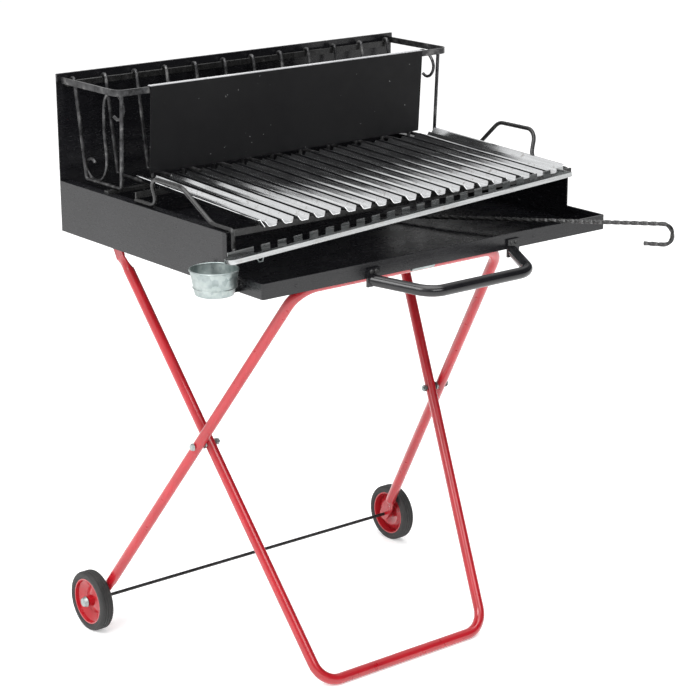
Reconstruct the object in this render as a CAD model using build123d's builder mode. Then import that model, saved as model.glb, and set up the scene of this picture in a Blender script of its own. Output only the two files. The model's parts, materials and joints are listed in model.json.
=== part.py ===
"""Folding charcoal barbecue with an upright fire basket and a V-channel grate.

Frame: +Z up from the ground, +Y towards the back panel, +X to the right of
someone standing at the front. All sizes are in millimetres. Pieces are drawn
about the pan's middle plane, x = 0, and save() moves them by MID_X, so that the
origin lies on the ground below the middle of the whole outline.
"""
import os
from math import atan2, cos, hypot, radians, sin

from build123d import *

os.makedirs("parts", exist_ok=True)

# ------------------------------------------------------------ driving dimensions
MID_X = 31.0             # pan's middle plane from the origin
BACK_Y = 347.0           # rear face of the back panel from the origin
PAN_Z = 707.0            # underside of the fire pan above the ground

SHEET = 1.5              # black sheet steel
WIDTH = 700.0            # over the side panels
BACK_HEIGHT = 260.0      # heights are from the pan's underside
SIDE_HEIGHT = 84.0
LIP_HEIGHT = 24.0
SIDE_DEPTH = 468.0       # depths are from the back panel's rear face
TRAY_DEPTH = 556.0
LEDGE = 18.0             # inward fold along the top of a side panel

CLEAR = 0.3              # air between pieces that move apart
FIT = 0.05               # radial clearance of a running fit
BOLT_R = 3.0
AXLE_R = 3.0
WHEEL_R = 52.5
WHEEL_X = 336.0          # middle of a wheel from the pan's middle plane
TUBE_R, TUBE_WALL = 9.0, 1.5

HINGE_DEPTH, HINGE_HEIGHT = 68.0, -15.0
CROSS_DEPTH, CROSS_HEIGHT = 250.0, -327.0
ARM = hypot(CROSS_DEPTH - HINGE_DEPTH, CROSS_HEIGHT - HINGE_HEIGHT)
FOOT_LEAN = atan2(CROSS_DEPTH - HINGE_DEPTH, HINGE_HEIGHT - CROSS_HEIGHT)
WHEEL_LEAN = radians(34.6)
FOOT_CROSS_X, WHEEL_CROSS_X = 237.3, 260.5
TAPER = 0.145            # sideways run of a leg per unit of its length
BEND_R = 42.0

RIM_X, RIM_DEPTH, RIM_TOP, RIM_BAR, RIM_THICK = 341.0, 168.0, 254.0, 10.0, 3.0
BASKET_BARS, BASKET_PITCH = 12, 59.4
BAR_R = 3.0
RAIL_HEIGHT = SIDE_HEIGHT + 5.0

CHANNELS, CHANNEL_PITCH = 20, 30.0
CHANNEL_HALF, CHANNEL_DROP, CHANNEL_WALL = 11.0, 7.0, 1.0
GRATE_REAR, GRATE_FRONT = 172.0, 497.0
GRATE_TOP_REAR, GRATE_TOP_FRONT = 111.0, 98.0
GRATE_FALL = atan2(GRATE_TOP_REAR - GRATE_TOP_FRONT, GRATE_FRONT - GRATE_REAR)
GRATE_LENGTH = hypot(GRATE_FRONT - GRATE_REAR, GRATE_TOP_REAR - GRATE_TOP_FRONT)
ROD_R, ROD_X = 3.5, 341.0
ROD_HEIGHT = SIDE_HEIGHT + CLEAR + ROD_R

DRAIN_LEFT, DRAIN_RIGHT = -380.0, 306.0
DRAIN_DEPTH, DRAIN_HALF, DRAIN_LIP = 510.0, 11.0, 7.0
DRAIN_HEIGHT_LEFT, DRAIN_HEIGHT_RIGHT = 50.0, 88.0
DRAIN_FALL = atan2(DRAIN_HEIGHT_RIGHT - DRAIN_HEIGHT_LEFT, DRAIN_RIGHT - DRAIN_LEFT)
DRAIN_LENGTH = hypot(DRAIN_RIGHT - DRAIN_LEFT, DRAIN_HEIGHT_RIGHT - DRAIN_HEIGHT_LEFT)

PLATE_X = 280.0
CUP_X, CUP_DEPTH, CUP_RIM, CUP_BASE = -388.0, 491.0, 42.0, 2.5
CUP_R_RIM, CUP_R_BASE, CUP_WALL = 37.3, 28.8, 0.8
CUP_BEAD = 14.0

HANDLE_X, HANDLE_BAR_X, HANDLE_REACH = 143.0, 100.0, 645.0
POKER_LIP_X, POKER_INSIDE, POKER_OUTSIDE, POKER_HOOK = 250.0, 330.0, 185.0, 34.0
POKER_TURN, POKER_RISE = radians(26.6), radians(3.9)
POKER_HALF = 2.8


# ------------------------------------------------------------------ helpers
def y_at(depth):
    """Y of a point this far in front of the back panel's rear face."""
    return BACK_Y - depth


def z_at(height):
    """Z of a point this far above the pan's underside."""
    return PAN_Z + height


def at(x, depth, height):
    """A point from its distance off the middle plane, its depth and its height."""
    return Vector(x, y_at(depth), z_at(height))


def across(x):
    """Plane across X: local x is Y, local y is Z."""
    return Plane(origin=(x, 0, 0), x_dir=(0, 1, 0), z_dir=(1, 0, 0))


def yz(depth, height):
    """Local coordinates of a depth and a height on an across() plane."""
    return (y_at(depth), z_at(height))


def save(piece, name):
    """Moves a finished piece to its place, labels it and writes its STEP file."""
    placed = piece.part.moved(Location((MID_X, 0, 0)))
    placed.label = name
    export_step(placed, f"parts/{name}.step")


def slab(x0, x1, depth0, depth1, height0, height1, mode=Mode.ADD):
    """A box between two x, two depths and two heights, added to or cut from the open part."""
    middle = at((x0 + x1) / 2, (depth0 + depth1) / 2, (height0 + height1) / 2)
    with Locations(middle):
        Box(abs(x1 - x0), abs(depth1 - depth0), height1 - height0, mode=mode)


def rod(points, radius, bend, bore=0):
    """A round bar or tube along straight runs joined by arcs, added to the open part."""
    with BuildLine() as run:
        FilletPolyline(*points, radius=bend) if bend else Polyline(*points)
    path = run.wire()
    with BuildSketch(Plane(origin=path @ 0, z_dir=path % 0)) as section:
        Circle(radius)
        if bore:
            Circle(bore, mode=Mode.SUBTRACT)
    sweep(section.sketch, path=path)


def pin(x0, x1, depth, height, radius, mode=Mode.ADD):
    """A cylinder along X, added to or cut from the open part."""
    with BuildSketch(across(x0)) as end:
        with Locations(yz(depth, height)):
            Circle(radius)
    extrude(end.sketch, amount=x1 - x0, dir=(1, 0, 0), mode=mode)


def strip(points, thickness, x0, x1):
    """A folded strip of sheet with its profile across X, added to the open part."""
    with BuildLine() as fold:
        Polyline(*[yz(*point) for point in points])
    with BuildSketch(across(x0)) as profile:
        trace(fold.line, line_width=thickness)
    extrude(profile.sketch, amount=x1 - x0, dir=(1, 0, 0))


def dome(x, depth, height, radius, rise, side):
    """A round bolt head on a face across X, standing towards side."""
    with BuildSketch(across(x)) as foot:
        with Locations(yz(depth, height)):
            Circle(radius)
    extrude(foot.sketch, amount=rise, dir=(side, 0, 0), taper=22)


def hex_nut(x0, x1, depth, height, flats):
    """A hexagon nut along X, added to the open part."""
    with BuildSketch(across(x0)) as end:
        with Locations(yz(depth, height)):
            RegularPolygon(flats / 2, 6, major_radius=False)
    extrude(end.sketch, amount=x1 - x0, dir=(1, 0, 0))


# ------------------------------------------------------------------ fire pan
with BuildPart() as fire_pan:
    pan_depth = TRAY_DEPTH - SHEET
    pan_width = WIDTH - 2 * SHEET
    with BuildSketch(Plane.XY.offset(PAN_Z)):
        with Locations((0, y_at(SHEET + pan_depth / 2))):
            Rectangle(pan_width, pan_depth)
    extrude(amount=LIP_HEIGHT)
    front_corners = fire_pan.edges().filter_by(Axis.Z).sort_by(Axis.Y)[:2]
    fillet(front_corners, radius=3.5)
    top = fire_pan.faces().sort_by(Axis.Z)[-1]
    offset(amount=-SHEET, openings=top)
    # the lip is folded double along the front and round both corners
    with BuildSketch(Plane.XY.offset(z_at(LIP_HEIGHT - 7))):
        with Locations((0, y_at(SHEET + pan_depth / 2))):
            RectangleRounded(pan_width - 2 * SHEET, pan_depth - 2 * SHEET, 2)
            RectangleRounded(pan_width - 4 * SHEET, pan_depth - 4 * SHEET, 1, mode=Mode.SUBTRACT)
        with Locations((0, y_at(SIDE_DEPTH / 2))):
            Rectangle(WIDTH, SIDE_DEPTH, mode=Mode.SUBTRACT)
    extrude(amount=7)
save(fire_pan, "fire_pan")

for side, word in ((-1, "left"), (1, "right")):
    with BuildPart() as side_panel:
        inner, outer = sorted((side * (WIDTH / 2 - SHEET), side * WIDTH / 2))
        slab(inner, outer, SHEET, SIDE_DEPTH, 0, SIDE_HEIGHT)
        front_top = side_panel.edges().filter_by(Axis.X).group_by(Axis.Y)[0].sort_by(Axis.Z)[-1]
        fillet(front_top, radius=4)
        ledge_in, ledge_out = sorted((side * (WIDTH / 2 - LEDGE), side * (WIDTH / 2 - SHEET)))
        slab(ledge_in, ledge_out, 6, SIDE_DEPTH - 5, SIDE_HEIGHT - SHEET, SIDE_HEIGHT)
        # the front edge is folded back on itself
        hem_in, hem_out = sorted((side * (WIDTH / 2 - 2 * SHEET), side * (WIDTH / 2 - SHEET)))
        slab(hem_in, hem_out, SIDE_DEPTH - 44, SIDE_DEPTH, LIP_HEIGHT + CLEAR, SIDE_HEIGHT - SHEET)
        # the last stretch of the hem is pressed slightly inwards
        face = side * WIDTH / 2
        with BuildSketch(Plane.XY.offset(PAN_Z)) as press:
            with BuildLine():
                Polyline((face, y_at(SIDE_DEPTH - 9)), (face, y_at(SIDE_DEPTH)),
                         (face - side * 1.2, y_at(SIDE_DEPTH)), close=True)
            make_face()
        extrude(press.sketch, amount=SIDE_HEIGHT, mode=Mode.SUBTRACT)
    save(side_panel, f"side_panel_{word}")

with BuildPart() as back_panel:
    slab(-WIDTH / 2, WIDTH / 2, 0, SHEET, 0, BACK_HEIGHT)
    slab(-WIDTH / 2, WIDTH / 2, SHEET, 3 * SHEET, BACK_HEIGHT - 12, BACK_HEIGHT)
save(back_panel, "back_panel")

with BuildPart() as panel_rivets:
    # low domes: side panels to the pan, and the back panel to both
    for side in (-1, 1):
        inside = side * (WIDTH / 2 - 2 * SHEET)
        for depth in (60, 210, 350):
            dome(inside, depth, 13, 3.2, 1.4, -side)
        for depth in (490, 532):
            dome(inside, depth, 9, 2.6, 1.2, -side)
    for x in (-287, -72, 190):
        with BuildSketch(Plane(origin=at(x, TRAY_DEPTH, 12), z_dir=(0, -1, 0))):
            Circle(2.6)
        extrude(amount=1.2, taper=22)
save(panel_rivets, "panel_rivets")

# ------------------------------------------------------------------ fire basket
with BuildPart() as basket_rim:
    with BuildLine() as rim_line:
        FilletPolyline(
            (-RIM_X, y_at(3 * SHEET)), (-RIM_X, y_at(RIM_DEPTH)),
            (RIM_X, y_at(RIM_DEPTH)), (RIM_X, y_at(3 * SHEET)), radius=16)
    with BuildSketch(Plane.XY.offset(z_at(RIM_TOP - RIM_BAR))):
        trace(rim_line.line, line_width=RIM_THICK)
    extrude(amount=RIM_BAR)
save(basket_rim, "basket_rim")

bar_xs = [(i - (BASKET_BARS - 1) / 2) * BASKET_PITCH for i in range(BASKET_BARS)]
END_X = bar_xs[-1]
REAR_RAIL = (12.0, 15.0, 239.0, 249.0)       # depths and heights of the rear rail
BASKET_BACK, BASKET_FRONT = 46.0, 150.0      # depths of the bars at their foot
BAR_FOOT = RAIL_HEIGHT + BAR_R

with BuildPart() as rear_rail:
    slab(-END_X - 9, END_X + 9, *REAR_RAIL)
    for x in (-END_X - 7.5, END_X + 7.5):
        slab(x - 1.5, x + 1.5, 3 * SHEET, REAR_RAIL[0], *REAR_RAIL[2:])
    chamfer(rear_rail.edges().filter_by(Axis.X).group_by(Axis.Z)[-1].sort_by(Axis.Y)[:2], 1.1)
save(rear_rail, "rear_rail")

with BuildPart() as basket_bars:
    # each bar hooks over the rear rail, leans forward under the coals and
    # comes up again behind the rim
    hook_top = REAR_RAIL[3] + BAR_R
    hook_back = REAR_RAIL[0] - BAR_R
    hook_front = REAR_RAIL[1] + BAR_R
    for x in bar_xs:
        rod([at(x, hook_back, 241), at(x, hook_back, hook_top), at(x, hook_front + 1, hook_top),
             at(x, BASKET_BACK, BAR_FOOT), at(x, BASKET_FRONT, BAR_FOOT), at(x, 159.5, 252)],
            BAR_R, 4.2)
save(basket_bars, "basket_bars")

with BuildPart() as basket_foot:
    # a flat rail carries the bars and rests on the ledges of the side panels
    slab(-RIM_X - 3, RIM_X + 3, 126, 138, SIDE_HEIGHT, RAIL_HEIGHT)
save(basket_foot, "basket_foot")

for side, word in ((-1, "left"), (1, "right")):
    with BuildPart() as scroll:
        # an S of round bar beside the end basket bar: it hooks forward at the top
        # and back at the bottom
        x = side * (END_X - 5.8)
        with BuildLine(across(x)) as s_line:
            curl = Spline(yz(126, 205), yz(145, 204), yz(154, 219), yz(143, 239),
                          yz(123, 245), yz(102, 231), yz(96, 207), yz(97, 159),
                          yz(99, 121), yz(88, 99.6), yz(68, 91.8), yz(43, 99.6),
                          yz(36, 111), yz(46, 123), yz(64, 120))
        with BuildSketch(Plane(origin=curl @ 0, z_dir=curl % 0)) as wire_end:
            Circle(2.6)
        sweep(wire_end.sketch, path=curl)
    save(scroll, f"scroll_{word}")

# ------------------------------------------------------------------ reflector
with BuildPart() as reflector_plate:
    lip = RIM_DEPTH + RIM_THICK / 2 + CLEAR + SHEET / 2 + 1.0
    over = RIM_TOP + CLEAR + SHEET / 2
    back_lip = RIM_DEPTH - RIM_THICK / 2 - 2.2
    strip([(back_lip, over - 9), (back_lip, over), (lip, over), (161.5, 113.5)], SHEET,
          -PLATE_X, PLATE_X)
save(reflector_plate, "reflector_plate")

# ------------------------------------------------------------------ grate
def grate_top(depth):
    """Height of the channels' upper edges at a depth."""
    run = (depth - GRATE_REAR) / (GRATE_FRONT - GRATE_REAR)
    return GRATE_TOP_REAR + run * (GRATE_TOP_FRONT - GRATE_TOP_REAR)


def along_grate(x):
    """Plane square to the channels at their rear end, local y up."""
    return Plane(origin=at(x, GRATE_REAR, GRATE_TOP_REAR), x_dir=(1, 0, 0),
                 z_dir=(0, -cos(GRATE_FALL), -sin(GRATE_FALL)))


with BuildPart() as channel:
    w, d = CHANNEL_HALF, CHANNEL_DROP
    with BuildLine() as vee:
        FilletPolyline((-w, 0), (-w + 4, -d), (w - 4, -d), (w, 0), radius=4.5)
    with BuildSketch(along_grate(0)) as vee_end:
        trace(vee.line, line_width=CHANNEL_WALL)
    extrude(vee_end.sketch, amount=GRATE_LENGTH, dir=along_grate(0).z_dir)
    # round the front corners as seen from above
    with BuildSketch(Plane.XY.offset(z_at(GRATE_TOP_FRONT - 30))) as outline:
        with Locations((0, y_at((GRATE_REAR + GRATE_FRONT) / 2 - 10))):
            RectangleRounded(2 * w + 2, GRATE_FRONT - GRATE_REAR + 20, 7)
    extrude(outline.sketch, amount=60, mode=Mode.INTERSECT)

channel_xs = [(i - (CHANNELS - 1) / 2) * CHANNEL_PITCH for i in range(CHANNELS)]
with BuildPart() as v_channels:
    with Locations([(x, 0, 0) for x in channel_xs]):
        add(channel.part)
save(v_channels, "v_channels")

FLANGE_IN = channel_xs[-1] + CHANNEL_HALF + 3
for side, word in ((-1, "left"), (1, "right")):
    with BuildPart() as flange:
        with BuildLine() as lean:
            Polyline(
                (side * FLANGE_IN, -CHANNEL_DROP), (side * (FLANGE_IN + 9), 5), (side * (FLANGE_IN + 13), 5)
            )
        with BuildSketch(along_grate(0)) as flange_end:
            trace(lean.line, line_width=1.2)
        extrude(flange_end.sketch, amount=GRATE_LENGTH, dir=along_grate(0).z_dir)
    save(flange, f"grate_flange_{word}")

REAR_BAR, FRONT_BAR = 216.0, 479.5
with BuildPart() as grate_bars:
    # flat bars on edge: the rear one lies on the side rods, the front one is
    # welded to their down-turned ends
    under_rear = grate_top(REAR_BAR) - CHANNEL_DROP - CHANNEL_WALL
    slab(-ROD_X - 2, ROD_X + 2, REAR_BAR - 1.5, REAR_BAR + 1.5, ROD_HEIGHT + ROD_R, under_rear)
    under_front = grate_top(FRONT_BAR) - CHANNEL_DROP - CHANNEL_WALL
    slab(-ROD_X - 2, ROD_X + 2, FRONT_BAR - 1.5, FRONT_BAR + 1.5, under_front - 10, under_front)
save(grate_bars, "grate_bars")

HANDLE_OUT, HANDLE_TOP = 357.0, 137.0
FRONT_DROP = FRONT_BAR - 1.5 - ROD_R


def side_rod(x, lean_x, rise, top_start, top_end, fall, bend):
    """A grate's side rod, bent up and outwards into a handle, added to the open part."""
    rod([at(x, 214, ROD_HEIGHT), at(x, rise, ROD_HEIGHT), at(lean_x, top_start, HANDLE_TOP),
         at(lean_x, top_end, HANDLE_TOP), at(x, fall, ROD_HEIGHT),
         at(x, FRONT_DROP - 12, ROD_HEIGHT)], ROD_R, bend)


with BuildPart() as grate_handle_left:
    side_rod(-ROD_X, -HANDLE_OUT, 275, 280, 366, 422, 24)
    rod([at(-ROD_X, FRONT_DROP - 12, ROD_HEIGHT), at(-ROD_X, FRONT_DROP, ROD_HEIGHT),
         at(-ROD_X, FRONT_DROP, 56), at(-ROD_X, DRAIN_DEPTH - DRAIN_HALF - 0.5, 56)], ROD_R, 6.5)
save(grate_handle_left, "grate_handle_left")

with BuildPart() as grate_handle_right:
    side_rod(ROD_X, HANDLE_OUT, 244, 286, 378, 384, 22)
    rod([at(ROD_X, FRONT_DROP - 12, ROD_HEIGHT), at(ROD_X, FRONT_DROP, ROD_HEIGHT),
         at(ROD_X, FRONT_DROP, 76)], ROD_R, 6.5)
save(grate_handle_right, "grate_handle_right")

# ------------------------------------------------------------------ drip channel
drain_floor = Plane(origin=at(DRAIN_LEFT, DRAIN_DEPTH, DRAIN_HEIGHT_LEFT),
                    x_dir=(cos(DRAIN_FALL), 0, sin(DRAIN_FALL)),
                    z_dir=(-sin(DRAIN_FALL), 0, cos(DRAIN_FALL)))


with BuildPart() as drip_channel:
    with BuildSketch(drain_floor) as outside:
        with Locations(((DRAIN_HALF + DRAIN_LENGTH) / 2, 0)):
            Rectangle(DRAIN_LENGTH - DRAIN_HALF, 2 * DRAIN_HALF)
        with Locations((DRAIN_HALF, 0)):
            Circle(DRAIN_HALF)
    extrude(amount=DRAIN_LIP)
    drain_up = Axis(drain_floor.origin, drain_floor.z_dir)
    offset(amount=-1.0, openings=drip_channel.faces().sort_by(drain_up)[-1])
    # the rear wall stands higher, with a notch under every channel
    with BuildSketch(drain_floor.offset(DRAIN_LIP)) as rear_wall:
        with Locations(((DRAIN_HALF + DRAIN_LENGTH) / 2, DRAIN_HALF - 0.5)):
            Rectangle(DRAIN_LENGTH - DRAIN_HALF, 1.0)
    extrude(rear_wall.sketch, amount=6)
    with BuildSketch(drain_floor.offset(2.5)) as notches:
        with Locations([((x - DRAIN_LEFT) / cos(DRAIN_FALL), DRAIN_HALF - 0.5)
                        for x in [channel_xs[0] - CHANNEL_PITCH, *channel_xs]]):
            Rectangle(14, 2.0)
    extrude(notches.sketch, amount=20, mode=Mode.SUBTRACT)
    with BuildSketch(drain_floor) as drip_hole:
        with Locations((DRAIN_HALF, 0)):
            Circle(4)
    extrude(drip_hole.sketch, amount=1.0, mode=Mode.SUBTRACT)
save(drip_channel, "drip_channel")

with BuildPart() as drain_hook:
    # wire loop under the low end of the trough
    bottom = DRAIN_HEIGHT_LEFT + (-318 - DRAIN_LEFT) * sin(DRAIN_FALL)
    rod([at(-325, DRAIN_DEPTH, bottom - 1.6), at(-321, DRAIN_DEPTH, bottom - 9),
         at(-314, DRAIN_DEPTH, bottom - 9), at(-312, DRAIN_DEPTH, bottom - 1)], 1.2, 2)
save(drain_hook, "drain_hook")

# ------------------------------------------------------------------ cup and its holder
with BuildPart() as cup:
    with BuildSketch(Plane(origin=at(CUP_X, CUP_DEPTH, 0), x_dir=(1, 0, 0), z_dir=(0, -1, 0))):
        # tapered wall with a bead near the foot and a rolled rim
        with BuildLine() as wall_line:
            FilletPolyline((0, CUP_BASE + CUP_WALL / 2), (CUP_R_BASE, CUP_BASE + CUP_WALL / 2),
                           (CUP_R_RIM - 1.2, CUP_RIM - 1.5), radius=2)
        trace(wall_line.line, line_width=CUP_WALL)
        with Locations((CUP_R_RIM - 1.2, CUP_RIM - 1.5)):
            Circle(1.4)
        bead_run = (CUP_BEAD - CUP_BASE) / (CUP_RIM - CUP_BASE)
        with Locations((CUP_R_BASE + bead_run * (CUP_R_RIM - CUP_R_BASE), CUP_BEAD)):
            Circle(1.2)
        with Locations((-5, 0)):
            Rectangle(10, 60, mode=Mode.SUBTRACT)
    revolve(axis=Axis(at(CUP_X, CUP_DEPTH, 0), (0, 0, 1)))
save(cup, "cup")

with BuildPart() as cup_holder:
    # a bracket on the pan's side with a tongue under the cup
    face = -WIDTH / 2
    tongue_top = CUP_BASE - CLEAR
    slab(face, face + SHEET, SIDE_DEPTH + 1, CUP_DEPTH + 6, tongue_top - SHEET, 17)
    slab(CUP_X - 14, face, CUP_DEPTH - 12, CUP_DEPTH + 6, tongue_top - SHEET, tongue_top)
save(cup_holder, "cup_holder")

with BuildPart() as tool_hook:
    rod([at(face, 425, 24), at(face - 11, 425, 24), at(face - 11, 425, 34)], 1.8, 4)
save(tool_hook, "tool_hook")

# ------------------------------------------------------------------ poker
POKER_LIP_HEIGHT = LIP_HEIGHT + CLEAR + POKER_HALF + 1.3
outward = Vector(sin(POKER_TURN) * cos(POKER_RISE), -cos(POKER_TURN) * cos(POKER_RISE),
                 sin(POKER_RISE))
poker_side = outward.cross(Vector(0, 0, 1))
poker_plane = Plane(origin=at(POKER_LIP_X, TRAY_DEPTH, POKER_LIP_HEIGHT), x_dir=outward,
                    z_dir=poker_side)
with BuildPart() as poker:
    with BuildLine(poker_plane) as poker_run:
        FilletPolyline((-POKER_INSIDE, 0), (POKER_OUTSIDE, 0), (POKER_OUTSIDE, -POKER_HOOK),
                       (POKER_OUTSIDE - 47, 1.5 - POKER_HOOK), radius=15)
    poker_path = poker_run.wire()
    with BuildSketch(Plane(origin=poker_path @ 0, x_dir=poker_side, z_dir=poker_path % 0)) as bar:
        Rectangle(2 * POKER_HALF, 2 * POKER_HALF)
    sweep(bar.sketch, path=poker_path)
save(poker, "poker")

# ------------------------------------------------------------------ carrying handle
with BuildPart() as carry_handle:
    rod([at(-HANDLE_X, TRAY_DEPTH, -4), at(-HANDLE_BAR_X, HANDLE_REACH, -12),
         at(HANDLE_BAR_X, HANDLE_REACH, -12), at(HANDLE_X, TRAY_DEPTH, -4)],
        TUBE_R, 38, TUBE_R - TUBE_WALL)
    for x in (-HANDLE_X, HANDLE_X):
        slab(x - 12, x + 12, TRAY_DEPTH, TRAY_DEPTH + 4, -13, 16)
        slab(x - 20, x + 20, TRAY_DEPTH - 20, TRAY_DEPTH, -20, 20, Mode.SUBTRACT)
save(carry_handle, "carry_handle")

with BuildPart() as handle_bolts:
    for x in (-HANDLE_X, HANDLE_X):
        with BuildSketch(Plane(origin=at(x, TRAY_DEPTH + 4, 10.5), x_dir=(1, 0, 0),
                               z_dir=(0, -1, 0))) as heads:
            with Locations((-4.5, 0), (4.5, 0)):
                Circle(3.4)
        extrude(heads.sketch, amount=1.8, taper=22)
save(handle_bolts, "handle_bolts")

# ------------------------------------------------------------------ legs
hinge = at(0, HINGE_DEPTH, HINGE_HEIGHT)
foot_plane = Plane(origin=hinge, x_dir=(1, 0, 0), z_dir=(0, cos(FOOT_LEAN), -sin(FOOT_LEAN)))
BAR_DEPTH = CROSS_DEPTH + ARM * sin(WHEEL_LEAN)
BAR_HEIGHT = CROSS_HEIGHT + ARM * cos(WHEEL_LEAN)
wheel_plane = Plane(origin=at(0, BAR_DEPTH, BAR_HEIGHT), x_dir=(1, 0, 0),
                    z_dir=(0, cos(WHEEL_LEAN), sin(WHEEL_LEAN)))
FOOT_END = (PAN_Z - TUBE_R + HINGE_HEIGHT) / cos(FOOT_LEAN)
WHEEL_END = (PAN_Z - WHEEL_R + BAR_HEIGHT) / cos(WHEEL_LEAN)
AXLE_DEPTH = BAR_DEPTH - WHEEL_END * sin(WHEEL_LEAN)
AXLE_HEIGHT = WHEEL_R - PAN_Z


def foot_x(run):
    """Half width of the foot frame at a distance down its legs from the hinge."""
    return FOOT_CROSS_X + TAPER * (ARM - run)


def wheel_x(run):
    """Half width of the wheel frame at a distance down its legs from the crossbar."""
    return WHEEL_CROSS_X - TAPER * (ARM - run)


def u_tube(plane, half_width, open_end, closed_end):
    """A tube bent to a U on a plane, its legs spreading as half_width says."""
    corner = half_width(closed_end)
    start = half_width(open_end)
    flat = [(-start, open_end), (-corner, closed_end), (corner, closed_end), (start, open_end)]
    rod([plane.from_local_coords(point) for point in flat], TUBE_R, BEND_R, TUBE_R - TUBE_WALL)


def flat_end(plane, x, tube_x, tube_run, flat_run, eye_run):
    """The last stretch of a leg, pressed flat across X and drilled at the eye."""
    along = plane.y_dir
    with BuildSketch(Plane(origin=plane.from_local_coords((tube_x, tube_run, 0)),
                           x_dir=(1, 0, 0), z_dir=along)) as round_end:
        Circle(TUBE_R)
    with BuildSketch(Plane(origin=plane.from_local_coords((x, flat_run, 0)),
                           x_dir=(1, 0, 0), z_dir=along)) as pressed:
        RectangleRounded(4, 22, 1.9)
    loft([round_end.sketch, pressed.sketch])
    eye = Plane(origin=plane.from_local_coords((x - 2, eye_run, 0)), x_dir=along, z_dir=(1, 0, 0))
    with BuildSketch(eye) as tongue:
        Circle(11)
        with Locations(((flat_run - eye_run) / 2, 0)):
            Rectangle(abs(flat_run - eye_run), 22)
    extrude(tongue.sketch, amount=4, dir=(1, 0, 0))


def bore(x0, x1, depth, height):
    """A running hole along X through the open part."""
    pin(x0, x1, depth, height, BOLT_R + FIT, Mode.SUBTRACT)


with BuildPart() as foot_frame:
    u_tube(foot_plane, foot_x, 50, FOOT_END)
    for side in (-1, 1):
        flat_end(foot_plane, side * foot_x(0), side * foot_x(52), 52, 28, 0)
        bore(side * foot_x(0) - 9, side * foot_x(0) + 9, HINGE_DEPTH, HINGE_HEIGHT)
        bore(side * FOOT_CROSS_X - 12, side * FOOT_CROSS_X + 12, CROSS_DEPTH, CROSS_HEIGHT)
save(foot_frame, "foot_frame")

AXLE_X = wheel_x(WHEEL_END)
with BuildPart() as wheel_frame:
    u_tube(wheel_plane, wheel_x, WHEEL_END - 46, 0)
    for side in (-1, 1):
        flat_end(wheel_plane, side * AXLE_X, side * wheel_x(WHEEL_END - 48), WHEEL_END - 48,
                 WHEEL_END - 26, WHEEL_END)
        pin(side * AXLE_X - 9, side * AXLE_X + 9, AXLE_DEPTH, AXLE_HEIGHT, AXLE_R, Mode.SUBTRACT)
        bore(side * WHEEL_CROSS_X - 12, side * WHEEL_CROSS_X + 12, CROSS_DEPTH, CROSS_HEIGHT)
save(wheel_frame, "wheel_frame")

HINGE_X = foot_x(0)
with BuildPart() as hinge_brackets:
    for side in (-1, 1):
        x = side * HINGE_X
        slab(x - 16, x + 16, HINGE_DEPTH - 17, HINGE_DEPTH + 17, -2, 0)
        for near in (x - 4.3, x + 2.3):
            slab(near, near + 2, HINGE_DEPTH - 12, HINGE_DEPTH + 12, HINGE_HEIGHT, -2)
            pin(near, near + 2, HINGE_DEPTH, HINGE_HEIGHT, 12)
        pin(x - 9, x + 9, HINGE_DEPTH, HINGE_HEIGHT, BOLT_R, Mode.SUBTRACT)
save(hinge_brackets, "hinge_brackets")

with BuildPart() as hinge_bolts:
    for side in (-1, 1):
        x = side * HINGE_X
        inner, outer = x - side * 9.5, x + side * 4.3
        pin(min(inner, outer), max(inner, outer), HINGE_DEPTH, HINGE_HEIGHT, BOLT_R)
        dome(outer, HINGE_DEPTH, HINGE_HEIGHT, 6, 3, side)
        nut = sorted((x - side * 4.3, x - side * 9))
        hex_nut(*nut, HINGE_DEPTH, HINGE_HEIGHT, 10)
save(hinge_bolts, "hinge_bolts")

with BuildPart() as pivot_bolts:
    for side in (-1, 1):
        inner, outer = side * 219, side * (WHEEL_CROSS_X + TUBE_R + 1.5)
        pin(min(inner, outer), max(inner, outer), CROSS_DEPTH, CROSS_HEIGHT, BOLT_R)
        dome(outer, CROSS_DEPTH, CROSS_HEIGHT, 6.5, 3.6, side)
save(pivot_bolts, "pivot_bolts")

with BuildPart() as pivot_nuts:
    for side in (-1, 1):
        nut = sorted((side * 221, side * 226.5))
        hex_nut(*nut, CROSS_DEPTH, CROSS_HEIGHT, 10)
        pin(nut[0], nut[1], CROSS_DEPTH, CROSS_HEIGHT, BOLT_R, Mode.SUBTRACT)
save(pivot_nuts, "pivot_nuts")

with BuildPart() as pivot_spacers:
    for side in (-1, 1):
        washer = sorted((side * 247.4, side * 250.1))
        pin(*washer, CROSS_DEPTH, CROSS_HEIGHT, 7)
        pin(*washer, CROSS_DEPTH, CROSS_HEIGHT, BOLT_R, Mode.SUBTRACT)
save(pivot_spacers, "pivot_spacers")

# ------------------------------------------------------------------ crossbar catch
with BuildPart() as crossbar_stop:
    strip([(412, -1), (BAR_DEPTH - TUBE_R - 1.6, -1), (BAR_DEPTH - TUBE_R - 1.6, -33)], 2, -25, 25)
save(crossbar_stop, "crossbar_stop")

with BuildPart() as crossbar_rest:
    # an upside-down channel that takes the load of the pan to the crossbar
    rest_bottom = BAR_HEIGHT + TUBE_R + CLEAR
    slab(-20, 20, BAR_DEPTH - 8, BAR_DEPTH + 8, rest_bottom, 0)
    slab(-20, 20, BAR_DEPTH - 6, BAR_DEPTH + 6, rest_bottom + 2, -2, Mode.SUBTRACT)
save(crossbar_rest, "crossbar_rest")

with BuildPart() as catch_spring:
    strip([(536, -0.5), (521, -0.5), (505, -20.6), (488, -14), (479, -18)], 1, -23, 23)
save(catch_spring, "catch_spring")

# ------------------------------------------------------------------ wheels
WHEEL_HALF = 12.0
RIM_R = 40.0
with BuildPart() as axle:
    pin(-WHEEL_X - 17, WHEEL_X + 17, AXLE_DEPTH, AXLE_HEIGHT, AXLE_R)
save(axle, "axle")

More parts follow.
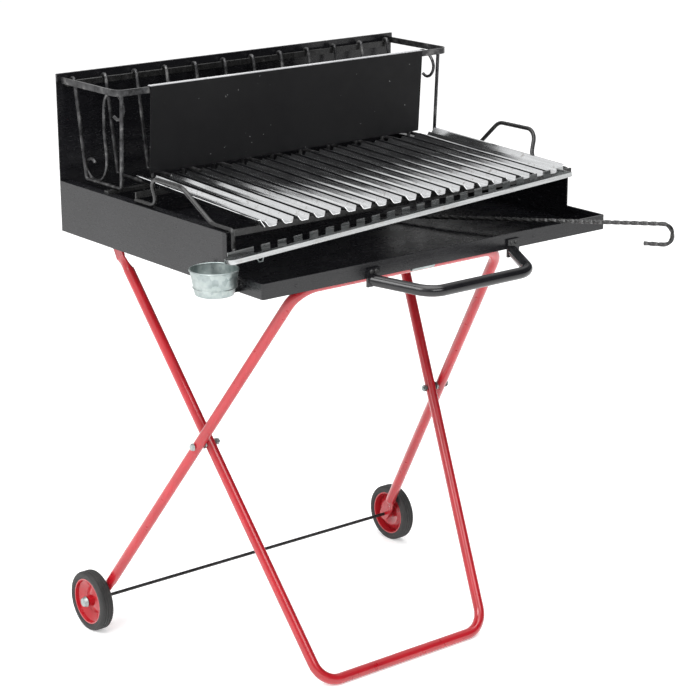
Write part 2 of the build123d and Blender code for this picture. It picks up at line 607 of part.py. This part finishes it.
with BuildPart() as axle_caps:
    for side in (-1, 1):
        face = side * (WHEEL_X + WHEEL_HALF + 1)
        dome(face, AXLE_DEPTH, AXLE_HEIGHT, 9.5, 6, side)
        pin(*sorted((face - side, face + side * 4)), AXLE_DEPTH, AXLE_HEIGHT, AXLE_R, Mode.SUBTRACT)
save(axle_caps, "axle_caps")

for side, word in ((-1, "left"), (1, "right")):
    x = side * WHEEL_X
    spin = Axis(at(0, AXLE_DEPTH, AXLE_HEIGHT), (1, 0, 0))
    section = Plane(origin=at(x, AXLE_DEPTH, AXLE_HEIGHT), x_dir=(side, 0, 0), z_dir=(0, -side, 0))
    with BuildPart() as wheel_disc:
        with BuildSketch(section):
            # hub, dished web and rim, drawn from the axle outwards
            with BuildLine():
                Polyline((-11, AXLE_R + FIT), (11, AXLE_R + FIT), (11, 9), (1, 10), (-4, 24),
                         (4, RIM_R - 3), (10.5, RIM_R - 2), (10.5, RIM_R), (-10.5, RIM_R),
                         (-10.5, RIM_R - 2), (2, RIM_R - 4), (-6.5, 24), (-2, 9), (-11, 9),
                         close=True)
            make_face()
        revolve(axis=spin)
    save(wheel_disc, f"wheel_{word}")

    with BuildPart() as tyre:
        with BuildSketch(section):
            with Locations((0, (WHEEL_R + RIM_R) / 2)):
                RectangleRounded(2 * WHEEL_HALF, WHEEL_R - RIM_R, 5)
            with Locations((0, RIM_R + 2)):
                Rectangle(21, 4)
            with Locations(*[(offset_x, WHEEL_R) for offset_x in (-5, 0, 5)]):
                Circle(0.9, mode=Mode.SUBTRACT)
        revolve(axis=spin)
    save(tyre, f"tyre_{word}")
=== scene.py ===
"""Visual model of a folding charcoal barbecue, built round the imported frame.

Everything is in metres in the row frame: +Z up, +Y towards the back panel,
+X to the right of someone standing at the front.
"""
import json
from math import cos, pi, radians, sin, tan

import bmesh
import bpy
from mathutils import Euler, Matrix, Vector


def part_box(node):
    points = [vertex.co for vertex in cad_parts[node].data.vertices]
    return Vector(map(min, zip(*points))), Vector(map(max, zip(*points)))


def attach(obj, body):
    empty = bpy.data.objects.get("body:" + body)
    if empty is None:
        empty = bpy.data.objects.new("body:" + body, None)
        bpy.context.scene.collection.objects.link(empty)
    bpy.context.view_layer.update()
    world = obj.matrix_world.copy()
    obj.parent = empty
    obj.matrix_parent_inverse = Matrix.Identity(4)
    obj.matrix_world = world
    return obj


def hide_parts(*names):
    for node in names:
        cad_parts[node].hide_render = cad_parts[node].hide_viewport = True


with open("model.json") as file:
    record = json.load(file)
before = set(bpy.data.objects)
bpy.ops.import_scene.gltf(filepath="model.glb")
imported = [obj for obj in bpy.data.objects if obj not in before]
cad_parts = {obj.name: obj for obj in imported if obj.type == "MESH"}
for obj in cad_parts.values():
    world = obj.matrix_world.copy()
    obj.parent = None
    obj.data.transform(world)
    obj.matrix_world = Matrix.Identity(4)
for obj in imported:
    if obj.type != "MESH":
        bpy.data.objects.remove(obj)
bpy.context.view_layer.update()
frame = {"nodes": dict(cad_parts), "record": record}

NODES = frame["nodes"]

# the pan's middle plane, the back panel's rear face and the pan's underside
PAN_MID, BACK_Y, PAN_Z = 0.031, 0.347, 0.707
SHARP_CAD = radians(32)
SHARP_POKER = radians(30)


# ---------------------------------------------------------------- camera first
CAMERA_PLACE = (-2.0967, -2.6555, 1.5475)
CAMERA_PITCH, CAMERA_ROLL, CAMERA_YAW = radians(73.137), radians(0.202), radians(-38.489)
SENSOR_MM, LENS_MM = 36.0, 110.884
CLIP_END = 200.0


def add_camera():
    """A viewpoint from the front left, a little above the pan."""
    data = bpy.data.cameras.new("camera")
    data.sensor_width = SENSOR_MM
    data.lens = LENS_MM
    data.clip_end = CLIP_END
    camera = bpy.data.objects.new("camera", data)
    camera.location = CAMERA_PLACE
    camera.rotation_euler = Euler((CAMERA_PITCH, CAMERA_ROLL, CAMERA_YAW), "XYZ")
    bpy.context.scene.collection.objects.link(camera)
    bpy.context.scene.camera = camera


add_camera()


# ---------------------------------------------------------------- materials
# sockets of a colour Mix node, which share their names with its other types
MIX_FACTOR, MIX_FIRST, MIX_SECOND, MIX_RESULT = 0, 6, 7, 2


class Shader:
    """A small helper that builds one node material."""

    def __init__(self, name):
        self.material = bpy.data.materials.new(name)
        self.material.use_nodes = True
        self.tree = self.material.node_tree
        self.tree.nodes.clear()
        self.out = self.add("ShaderNodeOutputMaterial")
        self.bsdf = self.add("ShaderNodeBsdfPrincipled")
        self.join(self.bsdf, "BSDF", self.out, "Surface")
        self.coords = self.add("ShaderNodeTexCoord")

    def add(self, kind, **values):
        """A new node with the given input values."""
        node = self.tree.nodes.new(kind)
        for key, value in values.items():
            node.inputs[key.replace("_", " ")].default_value = value
        return node

    def join(self, source, output, target, socket):
        """Links one socket to another."""
        self.tree.links.new(source.outputs[output], target.inputs[socket])

    def set(self, **values):
        """Sets plain values on the Principled shader."""
        for key, value in values.items():
            self.bsdf.inputs[key.replace("_", " ")].default_value = value

    def placed(self, stretch=(1, 1, 1)):
        """Object coordinates, stretched."""
        mapping = self.add("ShaderNodeMapping", Scale=stretch)
        self.join(self.coords, "Object", mapping, "Vector")
        return mapping

    def noise(self, scale, detail=3.0, rough=0.55, stretch=(1, 1, 1)):
        """A noise texture in metres."""
        node = self.add("ShaderNodeTexNoise", Scale=scale, Detail=detail, Roughness=rough)
        self.join(self.placed(stretch), "Vector", node, "Vector")
        return node

    def ramp(self, source, output, stops):
        """A colour ramp fed by a texture."""
        node = self.add("ShaderNodeValToRGB")
        elements = node.color_ramp.elements
        while len(elements) < len(stops):
            elements.new(0.5)
        for element, (place, colour) in zip(elements, stops):
            element.position = place
            element.color = (*colour, 1.0) if len(colour) == 3 else colour
        self.join(source, output, node, "Fac")
        return node

    def grey_ramp(self, source, output, low, high, start=0.3, end=0.7):
        """A ramp between two values."""
        return self.ramp(source, output, [(start, (low,) * 3), (end, (high,) * 3)])

    def mix(self, mask, mask_out, first, first_out, second, second_out):
        """A colour mix of two nodes by a mask node."""
        node = self.add("ShaderNodeMix")
        node.data_type = "RGBA"
        self.join(mask, mask_out, node, MIX_FACTOR)
        self.join(first, first_out, node, MIX_FIRST)
        self.join(second, second_out, node, MIX_SECOND)
        return node

    def bump(self, source, output, distance, strength=1.0, under=None):
        """A bump fed by a texture, stacked on another bump if given."""
        node = self.add("ShaderNodeBump", Strength=strength, Distance=distance)
        self.join(source, output, node, "Height")
        if under:
            self.join(under, "Normal", node, "Normal")
        return node


def black_sheet():
    """Satin black paint on sheet steel, with faint scuffs and ash dust."""
    s = Shader("black_sheet")
    broad = s.noise(7.0, 5.0)
    scuffs = s.noise(30.0, 6.0, 0.7, (1, 1, 5))
    colour = s.ramp(broad, "Fac", [(0.35, (0.004, 0.004, 0.005)), (0.7, (0.008, 0.008, 0.0095))])
    s.join(colour, "Color", s.bsdf, "Base Color")
    rough = s.grey_ramp(scuffs, "Fac", 0.22, 0.32)
    s.join(rough, "Color", s.bsdf, "Roughness")
    peel = s.noise(900.0, 2.0)
    wave = s.noise(5.0, 1.0)
    waves = s.bump(wave, "Fac", 0.0012, 0.5)
    normal = s.bump(peel, "Fac", 0.00004, 0.6, waves)
    s.join(normal, "Normal", s.bsdf, "Normal")
    return s.material


def gloss_black():
    """Thick glossy black paint on the carrying handle's tube."""
    s = Shader("gloss_black")
    tone = s.noise(40.0, 3.0)
    s.join(s.ramp(tone, "Fac", [(0.3, (0.004, 0.004, 0.005)), (0.7, (0.009, 0.009, 0.01))]),
           "Color", s.bsdf, "Base Color")
    s.join(s.grey_ramp(tone, "Fac", 0.14, 0.22), "Color", s.bsdf, "Roughness")
    s.join(s.bump(s.noise(300.0, 2.0), "Fac", 0.00003, 0.5), "Normal", s.bsdf, "Normal")
    return s.material


def dark_steel():
    """Black drawn bar, slightly worn to grey."""
    s = Shader("dark_steel")
    wear = s.noise(140.0, 5.0, 0.65)
    colour = s.ramp(wear, "Fac", [(0.4, (0.012, 0.012, 0.012)), (0.62, (0.022, 0.022, 0.022)),
                                  (0.8, (0.09, 0.087, 0.083))])
    s.join(colour, "Color", s.bsdf, "Base Color")
    s.join(s.grey_ramp(wear, "Fac", 0.22, 0.36), "Color", s.bsdf, "Roughness")
    s.join(s.bump(s.noise(500.0, 3.0), "Fac", 0.0001, 0.5), "Normal", s.bsdf, "Normal")
    s.set(Metallic=0.25)
    return s.material


def wire_steel():
    """Blackened basket wire, rubbed to bare grey steel in places."""
    s = Shader("wire_steel")
    wear = s.noise(60.0, 5.0, 0.65)
    colour = s.ramp(wear, "Fac", [(0.38, (0.02, 0.02, 0.021)), (0.55, (0.06, 0.06, 0.062)),
                                  (0.75, (0.22, 0.217, 0.213))])
    s.join(colour, "Color", s.bsdf, "Base Color")
    s.join(s.grey_ramp(wear, "Fac", 0.24, 0.4), "Color", s.bsdf, "Roughness")
    s.join(s.bump(s.noise(400.0, 3.0), "Fac", 0.0001, 0.5), "Normal", s.bsdf, "Normal")
    s.set(Metallic=0.7)
    return s.material


def red_paint():
    """Glossy red stove enamel on tube."""
    s = Shader("red_paint")
    tone = s.noise(18.0, 3.0)
    colour = s.ramp(tone, "Fac", [(0.3, (0.34, 0.003, 0.009)), (0.7, (0.44, 0.006, 0.014))])
    s.join(colour, "Color", s.bsdf, "Base Color")
    s.join(s.grey_ramp(s.noise(60.0, 4.0), "Fac", 0.26, 0.38), "Color", s.bsdf, "Roughness")
    s.join(s.bump(s.noise(700.0, 2.0), "Fac", 0.00005, 0.5), "Normal", s.bsdf, "Normal")
    s.set(Coat_Weight=0.6, Coat_Roughness=0.12)
    return s.material


def bright_sheet(name, low, high, rough_low, rough_high, stretch, scale):
    """Rolled bright sheet steel with fine streaks along its length and a few stains."""
    s = Shader(name)
    streaks = s.noise(scale, 5.0, 0.6, stretch)
    tone = s.ramp(streaks, "Fac", [(0.3, low), (0.7, high)])
    stains = s.noise(70.0, 6.0, 0.75)
    stain_mask = s.grey_ramp(stains, "Fac", 0.0, 0.75, 0.56, 0.72)
    stain = s.ramp(stains, "Fac", [(0.0, (0.20, 0.16, 0.13)), (1.0, (0.34, 0.31, 0.28))])
    colour = s.mix(stain_mask, "Color", tone, "Color", stain, "Color")
    s.join(colour, MIX_RESULT, s.bsdf, "Base Color")
    s.join(s.grey_ramp(streaks, "Fac", rough_low, rough_high), "Color", s.bsdf, "Roughness")
    s.join(s.bump(streaks, "Fac", 0.00005, 0.5), "Normal", s.bsdf, "Normal")
    s.set(Metallic=1.0)
    return s.material


def zinc():
    """Zinc plate with a fine crystal pattern."""
    s = Shader("zinc")
    crystals = s.add("ShaderNodeTexVoronoi", Scale=160.0)
    s.join(s.placed(), "Vector", crystals, "Vector")
    tone = s.ramp(crystals, "Color", [(0.2, (0.20, 0.24, 0.24)), (0.8, (0.36, 0.41, 0.40))])
    cloud = s.noise(40.0, 5.0)
    shade = s.ramp(cloud, "Fac", [(0.35, (0.20, 0.24, 0.235)), (0.65, (0.44, 0.48, 0.47))])
    colour = s.mix(cloud, "Fac", tone, "Color", shade, "Color")
    s.join(colour, MIX_RESULT, s.bsdf, "Base Color")
    s.join(s.grey_ramp(cloud, "Fac", 0.28, 0.46), "Color", s.bsdf, "Roughness")
    s.join(s.bump(cloud, "Fac", 0.0002, 0.4), "Normal", s.bsdf, "Normal")
    s.set(Metallic=0.85)
    return s.material


def rubber():
    """Black rubber with a fine matt grain and a dusty tread."""
    s = Shader("rubber")
    grain = s.noise(420.0, 4.0)
    dust = s.noise(35.0, 5.0)
    colour = s.ramp(dust, "Fac", [(0.4, (0.012, 0.012, 0.012)), (0.75, (0.035, 0.034, 0.033))])
    s.join(colour, "Color", s.bsdf, "Base Color")
    s.join(s.grey_ramp(dust, "Fac", 0.55, 0.75), "Color", s.bsdf, "Roughness")
    s.join(s.bump(grain, "Fac", 0.00015, 0.6), "Normal", s.bsdf, "Normal")
    return s.material


# the reflector's folded top edge gets a painted highlight: its colour is bright down to the smaller
# of these depths below its top, and black below the larger
EDGE_HIGHLIGHT_START, EDGE_HIGHLIGHT_FULL = 0.0016, 0.0006


def reflector_paint():
    """Charcoal heat-proof paint with small bright chips, and a painted highlight along the folded top
    edge.
    """
    s = Shader("reflector_paint")
    broad = s.noise(9.0, 5.0)
    base = s.ramp(broad, "Fac", [(0.3, (0.003, 0.003, 0.0035)), (0.7, (0.006, 0.006, 0.0065))])
    chips = s.noise(150.0, 2.0, 0.4)
    chip_mask = s.grey_ramp(chips, "Fac", 0.0, 0.5, 0.78, 0.80)
    chip = s.ramp(broad, "Fac", [(0.0, (0.25, 0.25, 0.25)), (1.0, (0.4, 0.4, 0.4))])
    painted = s.mix(chip_mask, "Color", base, "Color", chip, "Color")

    # painted highlight: the colour turns bright in a thin band just under the plate's top, where the
    # folded edge catches the light
    height = s.add("ShaderNodeSeparateXYZ")
    s.join(s.coords, "Object", height, "Vector")
    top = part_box("reflector_plate")[1].z
    edge = s.add("ShaderNodeMapRange", From_Min=top - EDGE_HIGHLIGHT_START, From_Max=top - EDGE_HIGHLIGHT_FULL)
    s.join(height, "Z", edge, "Value")
    bright = s.ramp(broad, "Fac", [(0.3, (0.35, 0.35, 0.36)), (0.7, (0.5, 0.5, 0.51))])
    colour = s.mix(edge, "Result", painted, MIX_RESULT, bright, "Color")

    s.join(colour, MIX_RESULT, s.bsdf, "Base Color")
    s.join(s.grey_ramp(s.noise(50.0, 5.0), "Fac", 0.34, 0.5), "Color", s.bsdf, "Roughness")
    s.join(s.bump(s.noise(800.0, 2.0), "Fac", 0.00006, 0.6), "Normal", s.bsdf, "Normal")
    s.set(Specular_IOR_Level=0.14)
    return s.material


MATERIALS = {
    "black_enamel": black_sheet(),
    "gloss_black": gloss_black(),
    "dark_steel": dark_steel(),
    "red_paint": red_paint(),
    "grate_steel": bright_sheet("grate_steel", (0.66, 0.67, 0.68), (0.86, 0.87, 0.88),
                                0.12, 0.24, (1, 0.04, 1), 260.0),
    "zinc": zinc(),
    "tyre": rubber(),
    "reflector": reflector_paint(),
}
WIRE = wire_steel()
TROUGH = bright_sheet("trough_steel", (0.34, 0.35, 0.35), (0.56, 0.57, 0.57),
                      0.2, 0.34, (0.04, 1, 1), 200.0)
# pieces whose finish differs from the rest of their slot
OWN_FINISH = {"basket_rim": WIRE, "basket_bars": WIRE, "scroll_left": WIRE, "scroll_right": WIRE,
              "drip_channel": TROUGH}
SLOT_OF = {part["node"]: part["material_slot"] for part in frame["record"]["subparts"]}


def dress(obj, material):
    """Gives an object one material."""
    obj.data.materials.clear()
    obj.data.materials.append(material)


for name, node in NODES.items():
    dress(node, OWN_FINISH.get(name, MATERIALS[SLOT_OF[name]]))
    for face in node.data.polygons:
        face.use_smooth = True
    node.data.set_sharp_from_angle(angle=SHARP_CAD)


# ---------------------------------------------------------------- mesh helpers
def at(x, depth, height):
    """A point from millimetres off the pan's middle, in front of its back and above its floor."""
    return Vector((PAN_MID + x / 1000, BACK_Y - depth / 1000, PAN_Z + height / 1000))


def finish_mesh(name, bm, material, body, stands_for, sharp):
    """Turns a bmesh into a piece that rides on a body and stands for CAD nodes."""
    bmesh.ops.recalc_face_normals(bm, faces=bm.faces)
    mesh = bpy.data.meshes.new(name)
    bm.to_mesh(mesh)
    bm.free()
    for face in mesh.polygons:
        face.use_smooth = True
    mesh.set_sharp_from_angle(angle=sharp)
    obj = bpy.data.objects.new(name, mesh)
    bpy.context.scene.collection.objects.link(obj)
    dress(obj, material)
    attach(obj, body)
    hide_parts(*stands_for)


def rounded_path(points, radius, steps):
    """Points along straight runs joined by arcs, with each arc cut into steps."""
    path = [points[0]]
    for before, corner, after in zip(points, points[1:], points[2:]):
        into, out = (before - corner).normalized(), (after - corner).normalized()
        half = into.angle(out) / 2
        reach = radius / tan(half)
        middle = corner + (into + out).normalized() * (radius / sin(half))
        start, end = corner + into * reach, corner + out * reach
        first, last = start - middle, end - middle
        turn = first.angle(last)
        axis = first.cross(last).normalized()
        for i in range(steps + 1):
            path.append(middle + Matrix.Rotation(turn * i / steps, 3, axis) @ first)
    path.append(points[-1])
    return path


def densify(path, step):
    """The same path with points no further apart than step."""
    dense = [path[0]]
    for a, b in zip(path, path[1:]):
        count = max(1, round((b - a).length / step))
        dense += [a.lerp(b, i / count) for i in range(1, count + 1)]
    return dense


def sweep(bm, path, ring, twist, scale):
    """Sweeps a ring of (u, v) points along a path, turned by twist(s) and scaled by scale(s)."""
    loops = []
    tangent = (path[1] - path[0]).normalized()
    u = tangent.cross(Vector((0, 0, 1))).normalized()
    travelled = 0.0
    for i, point in enumerate(path):
        ahead = path[min(i + 1, len(path) - 1)]
        behind = path[max(i - 1, 0)]
        tangent = (ahead - behind).normalized()
        u = (u - tangent * u.dot(tangent)).normalized()
        v = tangent.cross(u)
        travelled += (point - behind).length
        turn, size = twist(travelled), scale(travelled)
        c, n = cos(turn) * size, sin(turn) * size
        loops.append([bm.verts.new(point + u * (a * c - b * n) + v * (a * n + b * c))
                      for a, b in ring])
    count = len(ring)
    for one, two in zip(loops, loops[1:]):
        for k in range(count):
            bm.faces.new((one[k], one[(k + 1) % count], two[(k + 1) % count], two[k]))
    bm.faces.new(list(reversed(loops[0])))
    bm.faces.new(loops[-1])


# ---------------------------------------------------------------- poker
POKER_TURN, POKER_RISE = radians(26.6), radians(3.9)
POKER_LIP = at(250, 556, 28.4)            # where the bar crosses the pan's front lip
POKER_INSIDE, POKER_OUTSIDE = -0.330, 0.185
HOOK_DROP, HOOK_END, HOOK_TIP_DROP = -0.034, 0.138, -0.0325
HOOK_BEND = 0.015
HALF, SOFT = 0.0028, 0.0007               # half the bar's width, and its corners' chamfer
TWIST_START, TWIST_PITCH = 0.03, 0.062
TIP_SCALE, TIP_LENGTH = 0.25, 0.02        # the inner end is drawn to a point


def add_poker():
    """Square bar twisted along its length, drawn to a point inside the pan and hooked outside."""
    outward = Vector((sin(POKER_TURN) * cos(POKER_RISE), -cos(POKER_TURN) * cos(POKER_RISE),
                      sin(POKER_RISE)))
    sideways = outward.cross(Vector((0, 0, 1))).normalized()
    upward = sideways.cross(outward)

    def spot(run, up):
        return POKER_LIP + outward * run + upward * up

    corners = [spot(POKER_INSIDE, 0), spot(POKER_OUTSIDE, 0), spot(POKER_OUTSIDE, HOOK_DROP),
               spot(HOOK_END, HOOK_TIP_DROP)]
    path = densify(rounded_path(corners, HOOK_BEND, 12), 0.002)
    edge = HALF - SOFT
    ring = [(HALF, -edge), (HALF, edge), (edge, HALF), (-edge, HALF),
            (-HALF, edge), (-HALF, -edge), (-edge, -HALF), (edge, -HALF)]
    bm = bmesh.new()
    sweep(bm, path, ring, twist=lambda s: 2 * pi * max(0.0, s - TWIST_START) / TWIST_PITCH,
          scale=lambda s: min(1.0, TIP_SCALE + s / TIP_LENGTH))
    finish_mesh("poker_bar", bm, MATERIALS["dark_steel"], "poker", ["poker"], SHARP_POKER)


add_poker()

# ---------------------------------------------------------------- stage
FLOOR_HALF = 30.0
WORLD_DARK, WORLD_WHITE, WORLD_STRENGTH = (0.10, 0.10, 0.11, 1), (1.0, 1.0, 1.0, 1), 0.9
WORLD_WHITE_SIDE = (-0.5, 0.55, 0.67)     # the studio is white on this side, and darker away from it
WORLD_BLEND = 0.3
LAMPS = {                                 # place, what it points at, size, watts
    "key": ((-3.0, -0.6, 2.9), (0, 0, 0.7), (2.4, 2.0), 95),
    "front": ((-0.2, -4.0, 2.6), (0, 0, 0.7), (2.6, 1.6), 60),
    "top": ((0.0, -0.6, 4.2), (0, 0, 0), (3.5, 3.5), 120),
}


def add_floor():
    """A wide pale floor."""
    mesh = bpy.data.meshes.new("floor")
    size = FLOOR_HALF
    mesh.from_pydata([(-size, -size, 0), (size, -size, 0), (size, size, 0), (-size, size, 0)], [],
                     [(0, 1, 2, 3)])
    floor = bpy.data.objects.new("floor", mesh)
    bpy.context.scene.collection.objects.link(floor)
    s = Shader("floor")
    s.join(s.ramp(s.noise(2.0), "Fac", [(0.3, (0.90, 0.90, 0.90)), (0.7, (0.93, 0.93, 0.93))]),
           "Color", s.bsdf, "Base Color")
    s.set(Roughness=0.9, Emission_Color=(1, 1, 1, 1), Emission_Strength=0.35)
    dress(floor, s.material)


def add_world():
    """A white studio, a little darker low down on the camera's right."""
    world = bpy.data.worlds.new("studio")
    world.use_nodes = True
    tree = world.node_tree
    background = tree.nodes["Background"]
    coords = tree.nodes.new("ShaderNodeTexCoord")
    facing = tree.nodes.new("ShaderNodeVectorMath")
    facing.operation = "DOT_PRODUCT"
    facing.inputs[1].default_value = WORLD_WHITE_SIDE
    ramp = tree.nodes.new("ShaderNodeValToRGB")
    dark, white = ramp.color_ramp.elements
    dark.position, dark.color = 0.0, WORLD_DARK
    white.position, white.color = WORLD_BLEND, WORLD_WHITE
    tree.links.new(coords.outputs["Generated"], facing.inputs[0])
    tree.links.new(facing.outputs["Value"], ramp.inputs["Fac"])
    tree.links.new(ramp.outputs["Color"], background.inputs["Color"])
    background.inputs["Strength"].default_value = WORLD_STRENGTH
    bpy.context.scene.world = world
    bpy.context.scene.view_settings.view_transform = "Standard"


def add_lamps():
    """Large soft lamps from the left, the front and above."""
    for name, (place, target, size, watts) in LAMPS.items():
        data = bpy.data.lights.new(name, "AREA")
        data.shape = "RECTANGLE"
        data.size, data.size_y = size
        data.energy = watts
        lamp = bpy.data.objects.new(name, data)
        lamp.location = place
        lamp.rotation_euler = (Vector(target) - Vector(place)).to_track_quat("-Z", "Y").to_euler()
        bpy.context.scene.collection.objects.link(lamp)


add_floor()
add_world()
add_lamps()
